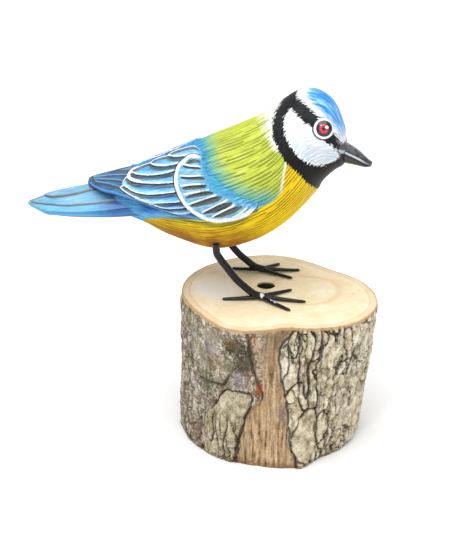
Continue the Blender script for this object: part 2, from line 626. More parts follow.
def body_paint():
    """Yellow, green and white plumage with the blue cap and black bands, all with brushed edges."""
    p = Paint("painted_plumage", roughness=0.5, coat=0.04, specular=0.2)
    streak = p.strokes(0.16, 1.5)
    fine = p.strokes(0.5, 3.5, 4)
    hair = p.strokes(0.09, 2.3, 2, 0.5)
    patch = p.noise(0.12, 2)
    groove = p.mark("groove")
    brush = p.strokes(0.4, 2.2, 2, 0.5) - 0.5
    tooth = p.strokes(0.5, 1.9, 1, 0.5) - 0.5
    low, fore, breast = p.mark("low"), p.mark("fore"), p.mark("breast")
    blues = hair.step(0.42, 0.6)

    mantle = p.coats(
        p.ramp(streak, (0.28, "aebc3a"), (0.5, "c8d442"), (0.7, "e0e870")),
        (patch.step(0.45, 0.7) * 0.3, "a8c44c"),
        (groove.step(0.12, 0.6) * 0.75, "6f762c"),
        (hair.step(0.57, 0.66) * 0.5, "8a9040"),
        (fine.step(0.56, 0.7) * 0.3, "eef3a4"),
        (low.step(52.0, 38.0) * 0.35, "98a63e"),
    )

    rear = (fore + low * 0.5).step(16.0, -12.0)
    under = (streak * 8.0 + low).step(36.0, 24.0)
    warm = rear * under
    yellow = p.coats(
        p.ramp(streak, (0.28, "e4b804"), (0.5, "f4d400"), (0.72, "fdea1c")),
        (warm * 0.85, "b87410"),
        (warm * patch.step(0.36, 0.56) * 0.85, "944e0c"),
        (low.step(24.0, 15.5) * 0.4, "a88a10"),
        (groove.step(0.12, 0.6) * 0.8, "94600f"),
        (hair.step(0.56, 0.65) * 0.5, "b0780c"),
        (fine.step(0.6, 0.78) * 0.25, "fff36a"),
        (rear * hair.step(0.5, 0.6) * 0.35, "86581e"),
    )

    # a pale arc where the green of the back meets the yellow
    arc = abs(tooth * 0.8 + (breast - 0.25)).step(0.8, 0.2) * low.step(38.5, 42.5)
    color = p.coats(yellow, ((brush * 2.0 + breast).step(-0.25, 0.25), mantle), (arc * 0.9, "eef3e4"))

    # pale nape: white at the black collar, running out into the green
    reach = low.step(52.0, 67.0) * 5.6 + 1.6
    faded = p.mark("collar") / reach + brush * 1.9
    gaps = hair.step(0.48, 0.58) * faded.step(-0.1, 0.4) * -0.8 + 1.0
    pale = faded.step(1.05, 0.3) * breast.step(0.2, 1.2) * (brush * 2.0 + low).step(53.0, 54.4) * gaps
    white_hair = p.coats(
        "f7f9f4",
        (groove.step(0.2, 0.8) * 0.4, "a9b0a0"),
        (low.step(60.0, 50.0) * hair.step(0.5, 0.6), "cfe0e4"),
    )
    color = p.mix(pale, color, white_hair)

    # blue running forward from the wing's front edge
    above_breast = breast.step(-0.5, 0.5)
    ahead = (p.strokes(0.22, 3.6) - 0.5) * 8.5 + p.mark("front")
    sea = p.coats("46a8a4", (blues, "a0d09c"), (groove * 0.5, "2b6f78"))
    sky = p.coats("1682c2", (blues, "4db8dc"), (groove * 0.5, "115a98"))
    color = p.coats(
        color,
        (ahead.step(6.6, 1.2) * 0.9 * above_breast, sea),
        (ahead.step(2.2, -1.2) * above_breast, sky),
    )

    # blue under the wing and at the root of the tail
    rump = brush * 0.6 + p.mark("rump")
    darker = (brush * 2.0 + rump).step(1.2, 3.4) * fore.step(-50.0, -44.0)
    behind = rump.step(-0.15, 0.15) * fore.step(-31.0, -34.0)
    fringe = rump.step(-1.1, -0.2) * rump.step(0.8, 0.2) * fore.step(-40.0, -33.0) * fore.step(-8.0, -13.0)
    color = p.coats(
        color,
        (behind, p.coats("4fa8e2", (blues, "7cc6f0"), (darker, "2f74c2"))),
        (fringe * 0.7, "5f7d2c"),
    )

    # head: white ground, blue cap, black bands
    head_fine = p.strokes(0.7, 1.6, 4)
    cheek, cap, root, eye_ring = (p.mark(name) for name in ("cheek", "cap", "root", "eye_ring"))
    on_head = (tooth * 0.8 + p.mark("headness")).step(0.85, 0.95) * breast.step(-0.4, 0.6)
    white_zone = p.math("MAXIMUM", p.math("MAXIMUM", on_head, cheek.step(1.4, 1.0)), cap.step(5.4, 4.8))
    cheek_shade = cheek.step(0.0, -1.0) * low.step(62.0, 51.0) * streak.step(0.34, 0.6)
    cap_streak = p.strokes(0.22, 0.6, 4, 0.65)
    cap_tone = p.ramp(cap_streak, (0.34, "2377cc"), (0.46, "3f9be4"), (0.56, "70bdf0"),
                      (0.68, "c4e6f9"))
    black_tone = p.coats("040506", (head_fine.step(0.42, 0.7), "2b2c31"), (low.step(60.0, 46.0), "030304"))
    eye_outline = eye_ring.step(3.95, 3.7) * (low + fore).step(77.5, 75.5)
    color = p.coats(
        color,
        (white_zone, p.mix(head_fine.step(0.42, 0.66), "fafbfd", "d6dfea")),
        (cheek_shade * 0.75, "a9bdd6"),
        (((cap_streak - 0.5) * 5.0 + cap).step(0.7, -1.6), cap_tone),
        ((tooth * 3.4 + p.mark("black")).step(0.1, -0.1), black_tone),
        (root.step(0.25, -0.25), p.mix(head_fine.step(0.4, 0.66), "2c2d30", "66686b")),
        (p.mark("mouth").step(0.5, 0.15) * root.step(0.6, 0.2), "c4ced6"),
        (eye_outline * 0.9, "16171a"),
        (eye_ring.step(3.38, 3.24), "f8fafc"),
    )

    height = (fine * 0.5 - groove * 0.6 - hair.step(0.5, 0.64) * 0.4) * (p.mark("headness") * -0.75 + 1.0)
    return p.finish(color, bump=height, strength=0.6, distance=0.3)


# Wings
WING_GRID = (260, 170)        # rows along the wing, points across it
WING_THICKNESS = 7.0
TIP_THICKNESS = 1.7
RAY_START, RAY_LENGTH = 8.0, 30.0
NO_BODY = -3.0                # gap used where the wing doesn't lie over the body
MIDDLE_GAP = 0.02             # least distance from the bird's middle plane
wing_curve = curve(WING)
lower_edge = curve(WING_LOWER)


def upper_angle(x):
    table = np.array(WING_UPPER, float)[::-1]
    return np.interp(x, table[:, 0], table[:, 1])


def wing_shell(x, angle, side=1):
    """Points on the wing's smooth shell, and the points on its axis from which they are drawn."""
    x, angle = np.broadcast_arrays(x, angle)
    ridge, centre, half = np.moveaxis(wing_curve(x), -1, 0)
    axis = np.stack([x, np.zeros_like(x), centre], -1)
    return np.stack([x, side * half * np.cos(angle), centre + (ridge - centre) * np.sin(angle)], -1), axis


def front_angle(x):
    """Angle at which each cross-section of the wing has passed its painted front line."""
    angle = np.radians(np.arange(-40, 91))[None, :]
    shell, _ = wing_shell(x, angle)
    behind = (side_of(drawn(shell), WING_FRONT) > -0.9).reshape(shell.shape[:2])
    return np.where(x > -31, np.degrees(np.where(behind, angle, -1).max(1, keepdims=True)), 0)


def body_gap(shell, outward, body_tree):
    """How far out from each point of the shell the body's surface lies, negative where it lies within."""
    gap = np.full(shell.shape[:2], NO_BODY)
    for place in np.ndindex(gap.shape):
        direction = Vector(outward[place])
        start = Vector((shell[place] + BIRD) * MM) + direction * RAY_START * MM
        distance = body_tree.ray_cast(start, -direction, RAY_LENGTH * MM)[3]
        if distance is not None:
            gap[place] = RAY_START - distance / MM
    return gap


def make_wing(word, side, body_tree):
    front_x, end_x = WING_LOWER[0][0], WING_LOWER[-1][0]
    x = np.broadcast_to(np.linspace(front_x + 1.5, end_x, WING_GRID[0])[:, None], WING_GRID)
    v = np.broadcast_to(np.linspace(0, 1, WING_GRID[1]), WING_GRID)
    low = lower_edge(np.clip(x, end_x, front_x))[..., 0]
    high = np.maximum(upper_angle(np.clip(x, end_x, front_x)), low + 3) + 3.5 * (x > -30.5)
    high = np.minimum(np.maximum(high, front_angle(x[:, :1])), 90)
    shell, axis = wing_shell(x, np.radians(low + (high - low) * v), side)
    reach = np.linalg.norm(shell - axis, axis=-1)
    outward = unit(shell - axis)

    # the front lies on the body and the rest rises to the shell
    flat = drawn(shell)
    front = side_of(flat, WING_FRONT)
    relief, marks = wing_relief(flat)
    base = reach + body_gap(shell, outward, body_tree) * (1 - smooth(-0.6, 4.5, front).reshape(WING_GRID))
    lift = (relief * smooth(0.2, 3.5, front) - 0.35 * smooth(0.3, -0.6, front)).reshape(WING_GRID)
    lift -= 0.25 * smooth(0.05, 0.0, v)
    thickness = np.clip(WING_THICKNESS + (x + 44) * 0.42, TIP_THICKNESS, WING_THICKNESS)
    sheets = []
    for height in (lift, -thickness):
        sheet = axis + outward * (base + height)[..., None]
        sheet[..., 1] = side * np.maximum(np.abs(sheet[..., 1]), MIDDLE_GAP)
        sheets.append(sheet.reshape(-1, 3))
    faces = shell_faces(*WING_GRID)
    if side > 0:
        faces = [group[:, ::-1] for group in faces]

    marks = dict(marks, front=front, edge=(v * (high - low) * 0.33).ravel(), fore=x.ravel())
    along, up = flat.T
    flow = np.stack([along * 0.97 + up * 0.2, up - along * 0.15, np.zeros(len(flat))], 1)
    uv_axes = np.linspace(0.01, 0.99, WING_GRID[0]), np.linspace(0.01, 0.66, WING_GRID[1])
    uv = np.stack(np.meshgrid(*uv_axes, indexing="ij"), -1).reshape(-1, 2)
    uv = np.vstack([uv, uv * [1, 0.48] + [0, 0.67]])
    piece = make_piece(f"wing_{word}_skin", np.vstack(sheets), faces, shell_marks(marks, flow), uv)
    return settle(piece, "paint_wing", f"wing_{word}")


def feather_map(step=0.08):
    """Raster of which long feather shows where, and how far below its upper edge each place is."""
    a = np.arange(-70, -1, step)
    b = np.arange(60, 16, -step)
    aa, bb = np.meshgrid(a, b)
    places = np.stack([aa.ravel(), bb.ravel()], 1)
    owner = np.full(len(places), -1)
    for k, outline in enumerate(LONG_FEATHERS):
        free = owner < 0
        hit = np.zeros(len(places), bool)
        hit[free] = inside(places[free], rounded(outline))
        owner[hit] = k
    owner = owner.reshape(aa.shape)
    depth = np.zeros(aa.shape)
    depth[0] = FAR
    for row in range(1, len(b)):
        depth[row] = np.where(owner[row] == owner[row - 1], depth[row - 1] + step, 0.0)

    def look(flat):
        col = np.clip(np.round((flat[:, 0] - a[0]) / step).astype(int), 0, len(a) - 1)
        row = np.clip(np.round((b[0] - flat[:, 1]) / step).astype(int), 0, len(b) - 1)
        return owner[row, col], depth[row, col]
    return look


look_up_feather = feather_map()
PANEL_BACK = [(-4, 36), (-25.5, 54)]     # closes the outline of the covert panel


def wing_relief(flat):
    """Height of the carved feathers and the marks that the paint follows."""
    owner, below = look_up_feather(flat)
    line = np.full(len(flat), FAR)       # distance to the feather's own white edge
    for k, outline in enumerate(LONG_FEATHERS):
        mine = owner == k
        line[mine] = line_distance(flat[mine], rounded(outline), closed=True)
    height = np.where(owner >= 0, FEATHER_TOP - FEATHER_STEP * owner + 0.22 * hump(line, 0.6), 0.0)
    height -= 0.30 * hump(below, 0.5) * (below < 8)

    stripe = np.full(len(flat), FAR)
    for outline in PRIMARY_LINES:
        distance = side_of(flat, outline)
        stripe = np.where(np.abs(distance) < np.abs(stripe), distance, stripe)
    rear = smooth(-48, -55, flat[:, 0]) * (owner < 0)
    height += rear * (0.40 - 0.25 * hump(stripe - 0.45, 0.3))

    rim_line = rounded(COVERT_RIM, 1, closed=False)
    panel = signed_distance(flat, np.vstack([rim_line, PANEL_BACK]))
    rim = line_distance(flat, rim_line)
    bar = np.min([signed_distance(flat, rounded(outline, 1)) for outline in WEDGES], 0)
    vane_edge = np.min([line_distance(flat, outline) for outline in VANE_EDGES], 0)
    bar, vane_edge = np.minimum(bar, FAR), np.minimum(vane_edge, FAR)
    vane = 0.22 * hump(vane_edge, 0.4) - 0.38 * smooth(0.15, -0.2, bar)
    covert = 1.35 + vane + 0.15 * hump(rim, 0.7) - 0.25 * smooth(3, 12, -panel)
    height = np.where(panel < 0, covert, height - 0.25 * hump(np.maximum(panel, 0), 0.6))
    feather = np.where(owner < 0, FAR, owner)
    return height, dict(line=line, below=below, panel=panel, rim=rim, bar=bar, vane_edge=vane_edge,
                        stripe=stripe, feather=feather, level=flat[:, 1])


def wing_paint():
    """Blue feathers with white edges and grey shading, and the barred coverts."""
    p = Paint("painted_wing", roughness=0.42, coat=0.1)
    streak = p.strokes(0.16, 1.9)
    fine = p.noise(2.2, 3, 0.6)
    tooth = p.noise(1.8, 2, 0.5) - 0.5
    long_tooth = p.strokes(0.3, 1.3, 2, 0.5) - 0.5
    line, below, rim, bar = (p.mark(name) for name in ("line", "below", "rim", "bar"))
    fore, level, edge, panel = (p.mark(name) for name in ("fore", "level", "edge", "panel"))
    feather, vane_edge = p.mark("feather"), p.mark("vane_edge")
    soft = streak.step(0.35, 0.65)

    mid = p.ramp(streak, (0.3, "155a9e"), (0.48, "2b86cc"), (0.66, "58b0e6"))
    pale = p.ramp(streak, (0.3, "4aa6e2"), (0.5, "86cdf2"), (0.68, "c2e8f8"))
    deep = level.step(36.0, 28.0) * fore.step(-46.0, -36.0)
    shade = p.mix(deep, p.mix(soft, "262f38", "536670"), p.mix(soft, "10284e", "1d5596"))
    color = p.coats(
        mid,
        ((long_tooth * 1.6 + line).step(2.0, 0.6), pale),
        ((long_tooth * 1.5 + below).step(1.75, 0.95) * 0.92, shade),
        (below.step(0.34, 0.12), "0f151f"),
    )

    # bare long feathers at the tip
    bare = feather.step(8.4, 8.8)
    stripe = tooth * 0.35 + p.mark("stripe")
    tip_tone = p.coats(
        p.ramp(streak, (0.3, "10325e"), (0.5, "1f588e"), (0.68, "3f80b2")),
        (stripe.step(0.1, 0.3) * stripe.step(1.2, 0.9), "39434c"),
        (abs(stripe).step(0.24, 0.08), "5c9cc8"),
    )
    lower = p.math("MAXIMUM", bare, edge.step(1.5, 1.0))
    color = p.coats(
        color,
        (bare * fore.step(-42.0, -50.0), tip_tone),
        (lower * (tooth * 0.8 + edge).step(3.0, 2.2) * 0.7, "46a2de"),
        (lower * (tooth * 0.6 + edge).step(1.9, 1.2), "2c70ba"),
        (edge.step(0.6, 0.3), "1a1440"),
    )

    # white edges, widest at the end of the fourth feather
    reach = abs(feather - 3.0).step(0.6, 0.4) * fore.step(-45.0, -49.0) * 0.6 + 0.36
    white_line = (tooth * 0.3 + line - reach).step(0.1, -0.06) * edge.step(1.1, 2.2)
    color = p.mix(white_line, color, p.mix(level.step(34.0, 27.0), "f8fbfe", "c2daf0"))

    # barred coverts
    vane_streak = p.strokes(0.35, 1.6)
    bar = tooth * 0.25 + bar
    specks = fine.step(0.5, 0.65) * 0.3
    bar_tone = p.coats("151b1d", (vane_edge.step(0.5, 1.5), "4c5856"), (specks, "7f8f8c"))
    vane = p.coats(
        p.ramp(vane_streak, (0.3, "3a8cba"), (0.5, "6eaed0"), (0.7, "aed2e4")),
        (rim.step(5.0, 9.0) * 0.8, "3aa2cc"),
        (bar.step(0.55, 0.0) * 0.4, "7fa0ac"),
        (bar.step(0.16, 0.0), bar_tone),
        (vane_edge.step(0.3, 0.16), "f4f9fc"),
        ((tooth * 1.1 + rim).step(1.35, 0.95), p.mix(fine.step(0.42, 0.66), "fafcfe", "c9dcf0")),
    )
    color = p.coats(
        color,
        (panel.step(0.8, 0.1), "0c1830"),
        ((tooth * 0.35 + panel).step(0.06, -0.06), vane),
    )

    # blue that runs over the front edge
    ahead = (p.strokes(0.55, 1.5, 2, 0.5) - 0.5) * -5.0 + p.mark("front")
    color = p.coats(
        color,
        (ahead.step(2.6, 0.7), p.mix(streak.step(0.38, 0.6), "1478b8", "48b4d4")),
        (p.mark("under"), "15305e"),
    )
    return p.finish(color, bump=streak * 0.6 + fine * 0.3, strength=0.35, distance=0.15)


# Tail
TAIL_GRID = (210, 90)         # rows along the tail, points across it
# half widths of the top vane and of those under it, along x
TAIL_CENTRE = [
    (-48, 2.0), (-61.5, 2.3), (-65.8, 2.8), (-70.1, 3.5), (-75.5, 3.5), (-79.1, 3.0), (-81.5, 1.6),
    (-82.8, 0.0), (-90, 0.0),
]
TAIL_SIDE = [
    (-48, 6.8), (-58.3, 7.2), (-63.5, 7.3), (-72.3, 7.0), (-76.7, 6.4), (-81.4, 5.0), (-84.9, 3.3),
    (-86.8, 1.2), (-90, 0.2),
]
TAIL_END = dict(start=78.0, length=10.8, power=1.8)    # how the end rounds to a point
tail_curve = curve(TAIL)


def make_tail():
    u, v = np.meshgrid(np.linspace(0, 1, TAIL_GRID[0]), np.linspace(-1, 1, TAIL_GRID[1]), indexing="ij")
    end = -TAIL_END["start"] - TAIL_END["length"] * (1 - np.abs(v) * 0.985) ** (1 / TAIL_END["power"])
    x = TAIL[0][0] + (end - TAIL[0][0]) * u
    base = tail_curve(np.maximum(x, -TAIL_END["start"]))[..., 2]
    ridge, drop, half, thick = np.moveaxis(tail_curve(x), -1, 0)
    y = base * v
    top = ridge - drop * np.minimum(np.abs(y) / half, 1.15) ** 1.7
    relief = 0
    marks = dict(fore=x.ravel(), across=np.abs(y).ravel())
    vanes = (("centre", TAIL_CENTRE, 0.55, 0.12), ("side", TAIL_SIDE, 0.35, 0.10))
    for name, outline, height, groove in vanes:
        edge, width = np.array(outline[::-1]).T
        beyond = np.abs(y) - np.interp(x, edge, width)
        relief = relief + height * smooth(0.12, -0.12, beyond) - groove * hump(beyond - 0.35, 0.3)
        marks[name] = beyond.ravel()
    margin = np.minimum((1 - np.abs(v)) * base, (1 - u) * 40)
    marks["margin"] = margin.ravel()
    roll = 0.5 * np.sqrt(np.clip(1 - np.minimum(margin / 0.7, 1), 0, 1))
    upper = np.stack([x, y, top + relief * smooth(0, 0.9, margin) - roll], -1).reshape(-1, 3)
    lower = np.stack([x, y, top - thick + roll * 0.4], -1).reshape(-1, 3)
    flow = np.stack([x, y, np.zeros_like(x)], -1).reshape(-1, 3)
    uv = np.stack([u * 0.98 + 0.01, (v + 1) * 0.24 + 0.01], -1).reshape(-1, 2)
    faces = [group[:, ::-1] for group in shell_faces(*TAIL_GRID)]
    piece = make_piece("tail_skin", np.vstack([upper, lower]), faces, shell_marks(marks, flow),
                       np.vstack([uv, uv + [0, 0.5]]))
    return settle(piece, "paint_tail", "tail")


def tail_paint():
    """Sky-blue tail with grey lines between its vanes and darker blue under the wings."""
    p = Paint("painted_tail", roughness=0.42, coat=0.2)
    streak = p.strokes(0.12, 1.1)
    tooth = p.noise(1.4, 2) - 0.5
    under, across, fore = p.mark("under"), p.mark("across"), p.mark("fore")
    color = p.coats(
        p.ramp(streak, (0.3, "449ccc"), (0.5, "6eb2d4"), (0.7, "9ec8dc")),
        (across.step(5.0, 7.5) * 0.5, "4fb4ec"),
        (under.step(0.0, 0.5) * 0.6, "3c9ade"),
        ((tooth * 8.0 + fore).step(-66.0, -55.0) * 0.85, "2a64b6"),
        ((tooth * 3.0 + fore).step(-60.0, -54.0) * across.step(9.0, 4.0) * 0.85, "16306e"),
    )
    fade = under.step(0.3, 0.0) * p.mark("margin").step(0.1, 0.9)
    for name, wide in (("centre", 0.5), ("side", 0.32)):
        beyond = p.mark(name)
        color = p.coats(
            color,
            (beyond.step(-1.6, -0.1) * beyond.step(0.3, 0.1) * 0.3, "8b98a0"),
            (abs(beyond - 0.25).step(wide, 0.14) * fade, "4e5a62"),
        )
    color = p.coats(
        color,
        (under.step(0.8, 0.93), "5f6e78"),
        (under.step(0.985, 1.0), "6ea6cc"),
    )
    return p.finish(color, bump=streak, strength=0.3, distance=0.15)


# Bill and eyes
MOUTH_LEVEL = 0.38            # how far below the bill's middle the mouth is, as a share of its half height
MOUTH_DROP = 1.7              # how much lower it starts at the face


def make_bill():
    rows, columns = 60, 96
    share = np.linspace(0, 1, rows)[:, None]
    x, z, tall, wide = np.moveaxis(station_curve(BILL)(share * (len(BILL) - 1)), -1, 0)
    turn = np.linspace(0, 2 * np.pi, columns, endpoint=False)[None, :]
    level = (np.sin(turn) + MOUTH_LEVEL) * tall - MOUTH_DROP * (30.6 - x) / 9.1
    half = wide - np.minimum(0.45, wide * 0.3) * hump(level, 0.22)
    points = np.stack([x + 0.35 * tall * np.sin(turn), half * np.cos(turn), z + tall * np.sin(turn)], -1)
    points = capped(turn_head(points, LAST_STATION).reshape(-1, 3), columns)
    points[-1] += [0.35, -0.06, -0.15]
    along, around = np.broadcast_to(x, level.shape), np.broadcast_to(turn / (2 * np.pi), level.shape)
    attributes = dict(level=np.append(level, [0, 0]), along=np.append(along, [18, 31]))
    uv = np.stack([around, np.broadcast_to(share, level.shape)], -1).reshape(-1, 2)
    uv = np.vstack([uv, [(0.5, 0), (0.5, 1)]])
    piece = make_piece("bill_skin", points, tube_faces(rows, columns), attributes, uv)
    return settle(piece, "bill", "bill")


def bill_paint():
    """Glossy charcoal with a pale mouth line."""
    p = Paint("bill_gloss", roughness=0.2, coat=0.6)
    mottle = p.noise(0.9, 4, 0.6)
    level = p.mark("level")
    line = abs(level - 0.55).step(0.42, 0.16) * p.mark("along").step(30.8, 26.0)
    color = p.coats(
        "202124",
        (mottle.step(0.42, 0.68), "4d5053"),
        (level.step(0.8, 3.2) * mottle.step(0.3, 0.6) * 0.7, "7b7e81"),
        (level.step(0.1, -0.3), "060607"),
        (line * 0.95, "d2dae0"),
    )
    return p.finish(color, bump=mottle, strength=0.25, distance=0.1)


def make_eye(word, side):
    rings, columns = 34, 64
    tilts = np.linspace(0, np.pi, rings + 2)[1:-1]
    tilt, turn = np.meshgrid(tilts, np.linspace(0, 2 * np.pi, columns, endpoint=False), indexing="ij")
    outward = unit(np.array(EYE["outward"]) * [1, side, 1])
    right = unit(np.cross([0, 0, 1], outward))
    up = np.cross(outward, right)
    centre = np.array([EYE["x"], side * EYE["y"], EYE["z"]])
    ball = np.stack([np.sin(tilt) * np.cos(turn), np.sin(tilt) * np.sin(turn), np.cos(tilt)], -1)
    ball = np.vstack([ball.reshape(-1, 3), [(0, 0, 1), (0, 0, -1)]])
    bead = ball * [EYE["radius"], EYE["radius"], EYE["depth"]] @ np.array([right, up, outward]) + centre
    spot = ball * [-side * EYE["radius"], EYE["radius"], 1]
    uv = np.vstack([np.stack([turn / (2 * np.pi), tilt / np.pi], -1).reshape(-1, 2), [(0.5, 0), (0.5, 1)]])
    quads, *fans = tube_faces(rings, columns)
    bead = turn_head(bead, LAST_STATION)
    piece = make_piece(f"eye_{word}_bead", bead, [quads[:, ::-1]] + fans, dict(spot=spot), uv)
    return settle(piece, "eye", f"eye_{word}")


def eye_paint():
    """White ring, black ring, crimson iris, small pupil and a painted glint."""
    p = Paint("eye_gloss", roughness=0.12, coat=0.6)
    spot = p.parts(p.mark("spot", "Vector"))
    shake = (p.noise(0.8, 2) - 0.5) * 0.25
    color = p.coats(
        p.mix(p.noise(1.5, 3).step(0.4, 0.65), "d0103a", "ee3a5c"),
        ((p.away(spot, (-0.05, -0.05)) + shake).step(1.46, 1.58), "050507"),
        (p.away(spot, (0.0, 0.05)).step(0.82, 0.66), "080406"),
        (p.away(spot, (0.85, 0.42), (1.2, 1)).step(0.55, 0.42), "fbfcfe"),
        ((p.away(spot, (0.0, 0.0)) + shake).step(2.58, 2.72), "f6f8fa"),
    )
    roughness = shake * 0.5 + 0.12
    return p.finish(color, bump=p.noise(2.0, 2), strength=0.05, distance=0.05, roughness=roughness)


# Legs and feet
TOE_RADIUS, TOE_TAPER = 1.0, 0.42
TOE_TIP = 0.93                # share of a toe's length where its end starts to round off
ANKLE_PATH = [(-10.3, 3.6), (-8.2, 2.2), (-5.9, 1.55), (-4.6, 1.3)]
SOLDER_PATH = [(-1.9, 1.2), (0, 1.35), (1.9, 1.15)]                # from the hub
CHIPS = [(0.2, -0.9, 1.1), (3.6, -3.4, 1.0), (5.0, -4.7, 1.3)]     # from the hub: x, y and size


def rod(path, radii, sides=24, flatten=1.0):
    """Points and faces of a round rod along a smooth path."""
    ahead = unit(np.gradient(path, axis=0))
    across = np.cross([0, 0, 1.0], ahead)
    across[np.linalg.norm(across, axis=1) < 1e-3] = [0, 1, 0]
    across = unit(across)
    above = np.cross(ahead, across)
    turn = np.linspace(0, 2 * np.pi, sides, endpoint=False)[None, :, None]
    section = np.cos(turn) * across[:, None] + flatten * np.sin(turn) * above[:, None]
    rings = path[:, None] + radii[:, None, None] * section
    return capped(rings.reshape(-1, 3), sides), tube_faces(len(path), sides)


def joined(parts):
    """Points and faces of one mesh made from several."""
    points, faces, count = [], [], 0
    for part, part_faces in parts:
        points.append(part)
        faces += [group + count for group in part_faces]
        count += len(part)
    return np.vstack(points), faces


def smooth_path(points, count):
    """Evenly spread points on a smooth line through the given ones."""
    rough = np.array(points, float)
    steps = np.concatenate([[0], np.cumsum(np.linalg.norm(np.diff(rough, axis=0), axis=1))])
    return curve(np.column_stack([steps, rough]))(np.linspace(0, steps[-1], count))


def make_leg(word, side):
    back = LEFT_LEG_BACK if side > 0 else 0
    path = [(LEG_PATH[0][0], LEG_PATH[0][1] + SOCKET_DEPTH + 2.5)] + LEG_PATH
    path = [(x - back * min(1, max(0, z - 4) / 13), side * LEG_SPREAD, z) for x, z in path]
    path += [(-9.2, side * LEG_SPREAD, 2.7)]
    points, faces = rod(smooth_path(path, 50), np.full(50, WIRE_RADIUS), 28)
    piece = make_piece(f"leg_{word}_wire", points, faces, dict(chip=np.zeros(len(points))))
    return settle(piece, "wire", f"leg_{word}")


def make_toe(hub, k, dx, dy):
    """One toe from the hub to its tip, swaying a little."""
    share = np.linspace(0, 1, 26)
    radius = TOE_RADIUS - TOE_TAPER * share
    sway = 0.25 * np.sin(share * np.pi * 1.2 + k) / math.hypot(dx, dy)
    line = np.stack([hub[0] + dx * share - dy * sway, hub[1] + dy * share + dx * sway,
                     0.12 + radius * 0.8 + 0.35 * (1 - share)], 1)
    round_off = np.sqrt(np.maximum(0.05, 1 - ((share - TOE_TIP) / (1 - TOE_TIP)) ** 2))
    return rod(line, radius * np.where(share > TOE_TIP, round_off, 1), 18, flatten=0.8)


def make_foot(word, side, tips):
    hub = np.array([HUB_X, side * LEG_SPREAD])
    ankle = smooth_path([(x, hub[1], z) for x, z in ANKLE_PATH], 12)
    lump = smooth_path([(HUB_X + x, hub[1], z) for x, z in SOLDER_PATH], 14)
    swell = 1.55 * np.sqrt(np.maximum(0.08, 1 - np.linspace(-1, 1, 14) ** 2))
    toes = [make_toe(hub, k, dx, dy) for k, (dx, dy) in enumerate(tips)]
    wire = rod(ankle, np.linspace(WIRE_RADIUS, 1.15, 12))
    points, faces = joined([wire] + toes + [rod(lump, swell, 20, 0.8)])
    points[:, 2] = np.maximum(points[:, 2], 0.1)
    chip = np.zeros(len(points))
    for x, y, size in CHIPS if side < 0 else []:
        distance = np.hypot(*(points[:, :2] - hub - [x, y]).T)
        chip = np.maximum(chip, smooth(size, size * 0.4, distance) * (points[:, 2] > 1.0))
    piece = make_piece(f"foot_{word}_wire", points, faces, dict(chip=chip))
    return settle(piece, "wire", f"foot_{word}")


def wire_paint():
    """Black enamel on wire, with pale solder showing where it is chipped."""
    p = Paint("wire_enamel", roughness=0.25, coat=0.12, specular=0.3)
    mottle = p.noise(1.1, 4, 0.6)
    chip = ((p.noise(1.6, 3, 0.6) - 0.5) * 1.2 + p.mark("chip")).step(0.5, 0.62)
    color = p.coats("060607", (mottle.step(0.45, 0.7), "1b1c1f"), (chip, "d8dde2"))
    return p.finish(color, bump=mottle, strength=0.35, distance=0.15)


# Log
BARE_WOOD = [                 # where the bark is gone: (angle, height)
    (-108.7, 56), (-107.0, 48.6), (-106.5, 43.6), (-104.1, 39.0), (-100.8, 33.2), (-98.4, 28.1),
    (-102.0, 25.4), (-107.5, 24.5), (-112.7, 17.8), (-116.5, 6.5), (-118.3, -3), (-75.5, -3),
    (-77.5, 3.5), (-79.9, 7.7), (-81.4, 14.3), (-83.6, 24.1), (-85.7, 30.5), (-88.4, 36.9), (-90.5, 44.4),
    (-87.8, 49.2), (-80, 52.4), (-79, 56),
]
FLAKES = [                    # raised bark flakes: (outline, height)
    ([(-71.5, 22.5), (-65.1, 23.4), (-62.3, 19.8), (-63.1, 15.1), (-62.5, 7.9), (-66.1, 1.6),
      (-73.1, 2.3), (-78.7, 7.0), (-80.1, 12.3), (-75.7, 17.5)], 1.3),
    ([(-61.2, 21.0), (-54.0, 20.6), (-50.7, 11.4), (-52, 3.6), (-58.3, 5.7), (-60.4, 13.4)], 0.8),
    ([(-131.2, 21.0), (-126.3, 27.3), (-122.1, 30.1), (-107.5, 30.0), (-106.4, 27.0), (-110.5, 22),
      (-114.5, 14), (-119.5, 3.5), (-121, -3), (-150, -3), (-146, 14)], 0.9),
]
LEDGE = [(-152, 29.8), (-136.8, 30.9), (-124.4, 32.3), (-119.0, 37.8)]     # where a bark plate overhangs
LOG_GRID = (130, 540)          # rows up the bark, points around it
DEGREE_MM = 0.58               # what a degree measures along the bark
MEAN_RADIUS = 32.5
HOLE_MARK = 30.0               # what the mark of distance from the bark says in the peg hole
log_outline = curve(LOG_OUTLINE)
log_taper = curve(LOG_TAPER)


